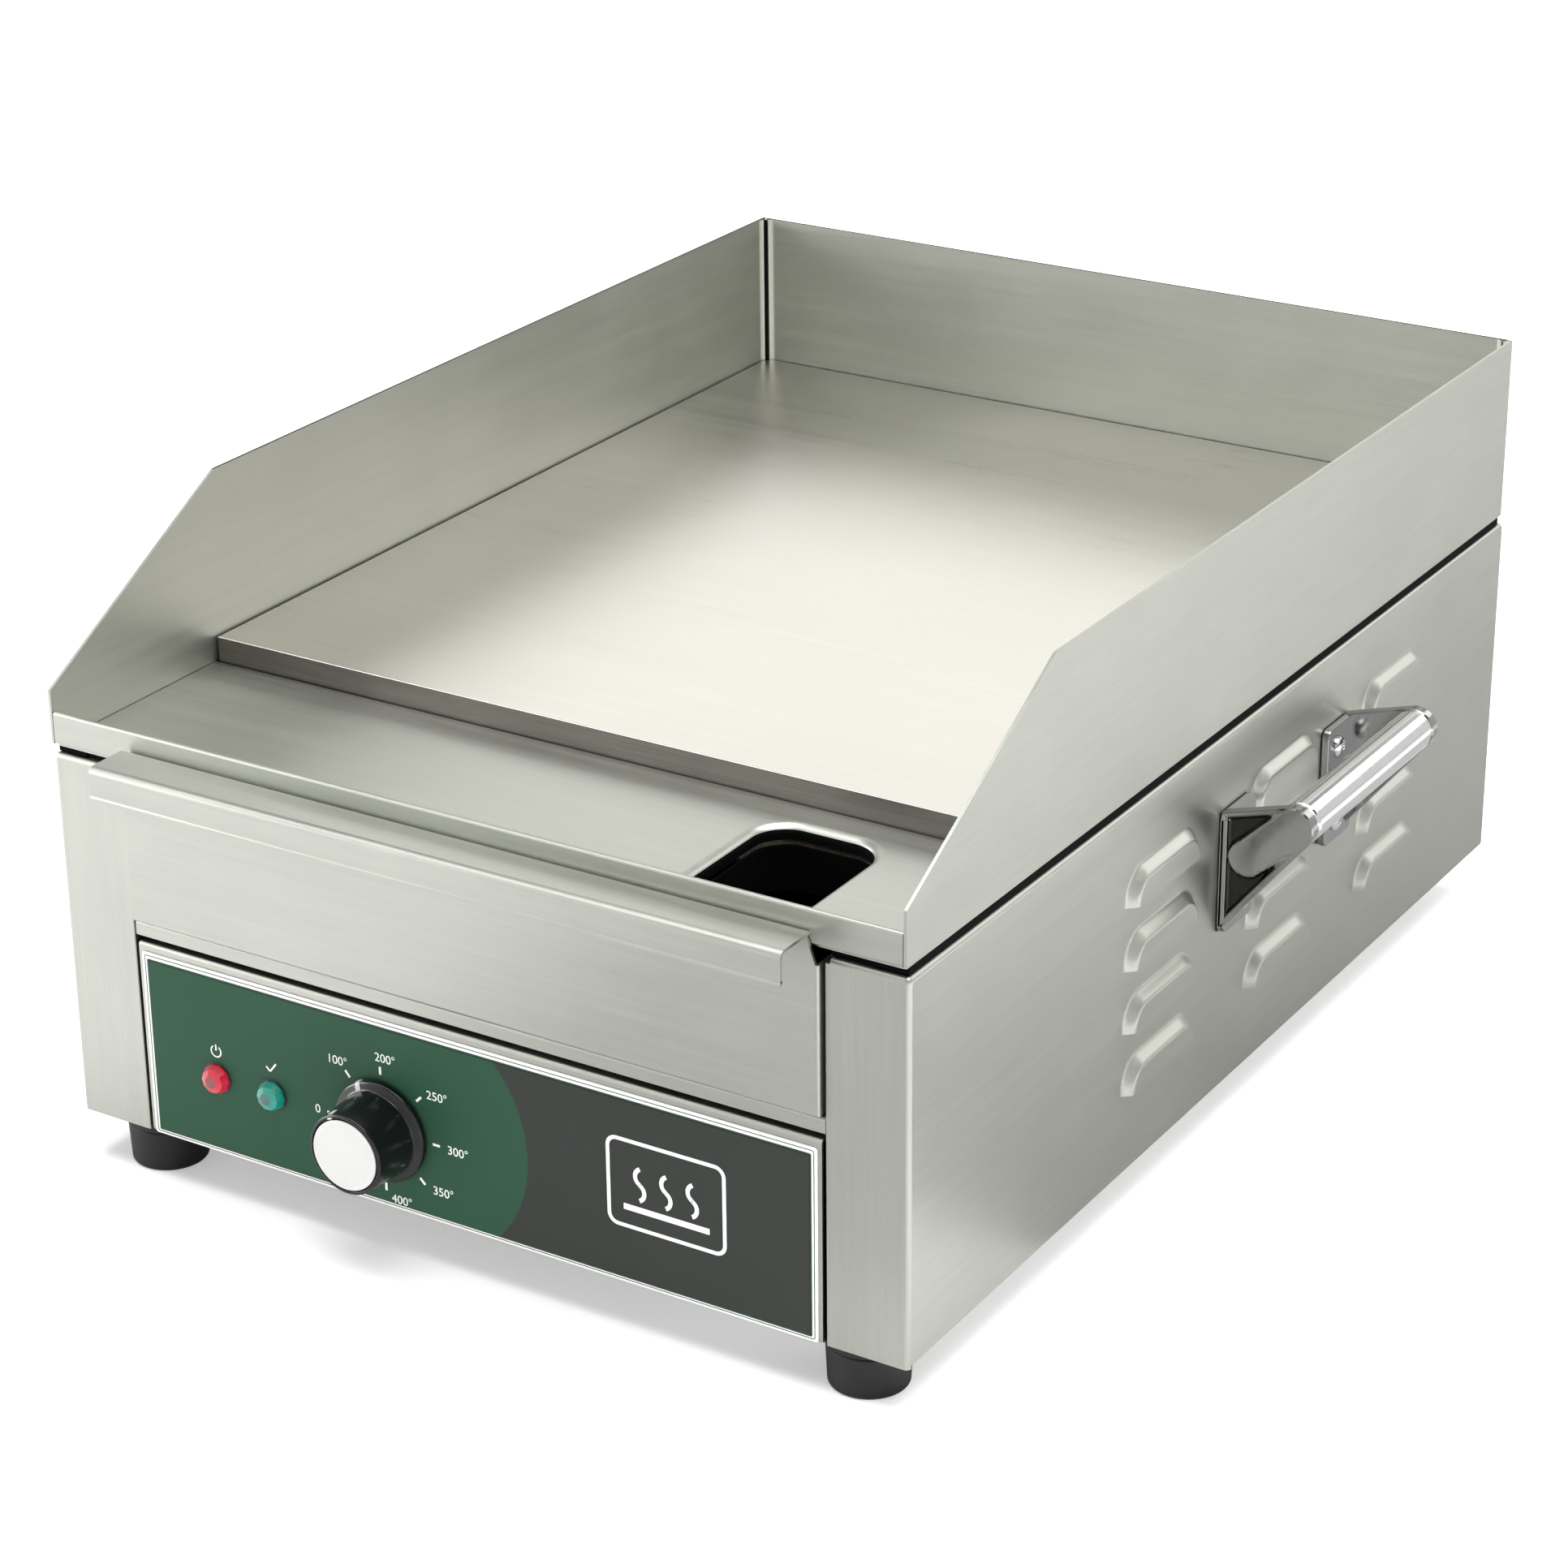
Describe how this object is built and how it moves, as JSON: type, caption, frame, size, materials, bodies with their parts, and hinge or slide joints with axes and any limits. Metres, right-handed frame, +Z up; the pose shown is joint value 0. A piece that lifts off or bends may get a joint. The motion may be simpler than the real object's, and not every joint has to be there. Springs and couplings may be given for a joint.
{
  "type": "electric griddle",
  "caption": "Countertop electric griddle: a thick flat plate inside a three-sided splash guard, with a grease trough, a pull-out grease drawer and a thermostat knob.",
  "frame": {"origin": "under the middle of the whole griddle, on the surface that its feet stand on", "axes": "+X to the right seen from the front, +Y from the control panel to the back, +Z up"},
  "size_m": [0.444, 0.5376, 0.2518],
  "materials": {
    "brushed_steel": "brushed stainless sheet, satin",
    "galvanised_steel": "galvanised sheet, dull",
    "plate_steel": "ground and polished steel plate",
    "chrome": "bright chrome plating",
    "element_sheath": "heat-darkened alloy sheath",
    "rubber": "matt black rubber",
    "black_plastic": "glossy black phenolic",
    "white_plastic": "satin white",
    "label_film": "printed film, green and charcoal",
    "red_lens": "translucent red lens",
    "green_lens": "translucent green lens",
    "mineral_fibre": "fibrous insulating board",
    "copper": "drawn copper",
    "ceramic": "glazed ceramic",
    "wire_sleeve": "braided glass-fibre sleeve"
  },
  "bodies": {
    "griddle": {"left_side_panel": "brushed_steel", "right_side_panel": "brushed_steel", "left_front_post": "brushed_steel", "right_front_post": "brushed_steel", "rear_panel": "brushed_steel", "front_cross_rail": "brushed_steel", "left_splash_guard": "brushed_steel", "right_splash_guard": "brushed_steel", "rear_splash_guard": "brushed_steel", "trough_lip": "brushed_steel", "trough_floor": "brushed_steel", "drain_chute": "brushed_steel", "control_panel": "brushed_steel", "base_plate": "galvanised_steel", "heat_shield": "galvanised_steel", "left_drawer_runner": "galvanised_steel", "right_drawer_runner": "galvanised_steel", "front_clamp_bar": "galvanised_steel", "rear_clamp_bar": "galvanised_steel", "front_clamp_stud": "galvanised_steel", "rear_clamp_stud": "galvanised_steel", "thermostat": "galvanised_steel", "front_left_foot_screw": "galvanised_steel", "front_right_foot_screw": "galvanised_steel", "rear_left_foot_screw": "galvanised_steel", "rear_right_foot_screw": "galvanised_steel", "griddle_plate": "plate_steel", "left_handle_front_bracket": "chrome", "left_handle_rear_bracket": "chrome", "left_handle_bar": "chrome", "right_handle_front_bracket": "chrome", "right_handle_rear_bracket": "chrome", "right_handle_bar": "chrome", "left_heating_element": "element_sheath", "right_heating_element": "element_sheath", "front_left_foot": "rubber", "front_right_foot": "rubber", "rear_left_foot": "rubber", "rear_right_foot": "rubber", "left_tray_seal": "rubber", "right_tray_seal": "rubber", "cable_gland": "black_plastic", "power_lamp_holder": "black_plastic", "ready_lamp_holder": "black_plastic", "supply_lead": "black_plastic", "panel_label": "label_film", "power_lamp_lens": "red_lens", "ready_lamp_lens": "green_lens", "insulation_board": "mineral_fibre", "thermostat_bulb": "copper", "terminal_block": "ceramic", "limit_switch": "ceramic", "element_lead": "wire_sleeve", "thermostat_lead": "wire_sleeve"},
    "drawer": {"drawer_front": "brushed_steel", "drawer_tray": "galvanised_steel"},
    "knob": {"knob_body": "black_plastic", "knob_cap": "white_plastic", "knob_pointer": "white_plastic", "knob_spindle": "galvanised_steel"}
  },
  "joints": [
    {"name": "drawer_slide", "type": "slide", "parent": "griddle", "child": "drawer", "axis": [0, -1, 0], "range_m": [0, 0.2]},
    {"name": "knob_turn", "type": "hinge", "parent": "griddle", "child": "knob", "pos_m": [-0.0377, -0.25725, 0.0534], "axis": [0, -1, 0], "range_deg": [-204, 66]}
  ]
}
